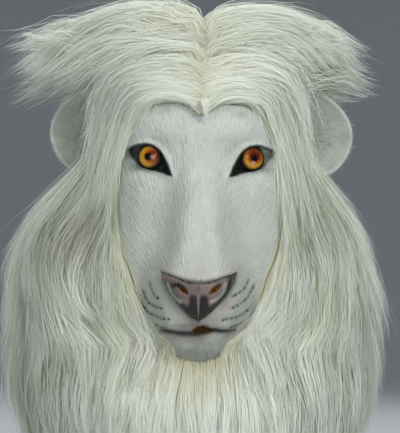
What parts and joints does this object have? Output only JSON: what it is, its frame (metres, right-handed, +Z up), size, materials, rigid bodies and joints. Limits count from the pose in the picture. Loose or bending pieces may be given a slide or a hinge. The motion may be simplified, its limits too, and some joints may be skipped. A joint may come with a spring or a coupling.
{
  "type": "lion mask",
  "caption": "Full-head white lion mask: moulded latex face with amber eyes, cupped ears and a long white fur mane on a hollow hood open at the neck.",
  "frame": {"origin": "where the inside of the hood's top rests on the crown of the wearer's head", "axes": "+Z up, the face looks along -Y, +X to the viewer's right when facing the mask"},
  "size_m": [0.4438, 0.3803, 0.5343],
  "materials": {
    "latex_face": "matt, airbrushed",
    "fur_backing": "knitted backing",
    "latex_ears": "flocked",
    "resin_eyes": "clear gloss",
    "long_fur": "long pile"
  },
  "bodies": {
    "root": {"face_shell": "latex_face", "hood": "fur_backing", "ear_left": "latex_ears", "ear_right": "latex_ears", "eye_left": "resin_eyes", "eye_right": "resin_eyes", "mane_crown_left": "long_fur", "mane_crown_right": "long_fur", "mane_cheek_left": "long_fur", "mane_cheek_right": "long_fur", "mane_side_left": "long_fur", "mane_side_right": "long_fur", "mane_back": "long_fur", "mane_bib": "long_fur"}
  },
  "joints": []
}
